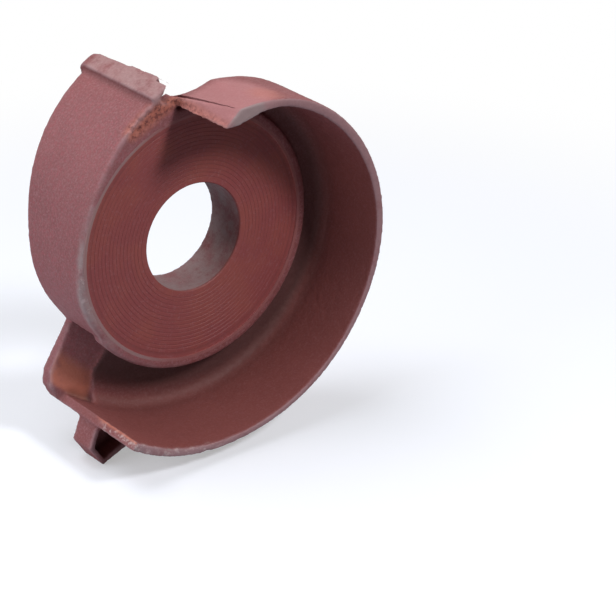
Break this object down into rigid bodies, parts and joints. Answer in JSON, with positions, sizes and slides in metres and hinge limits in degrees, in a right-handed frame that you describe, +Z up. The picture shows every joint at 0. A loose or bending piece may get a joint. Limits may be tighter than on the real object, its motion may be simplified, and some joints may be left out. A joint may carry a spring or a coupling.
{
  "type": "pump housing cover",
  "caption": "Snail-shaped cast iron cover for a small water pump: a turned plate round a plain eye, an open scroll wall and a closed duct behind the plate.",
  "frame": {"origin": "centre of the eye in the plane of the turned face", "axes": "-Y out of the turned face, towards the open side of the scroll; +Z up as it stands in the picture; +X to the right as seen from the front"},
  "size_m": [0.197, 0.1305, 0.2301],
  "materials": {
    "casting": "thin red-brown primer over sand-cast iron, worn to grey on the edges"
  },
  "bodies": {
    "root": {"housing_cover": "casting"}
  },
  "joints": []
}
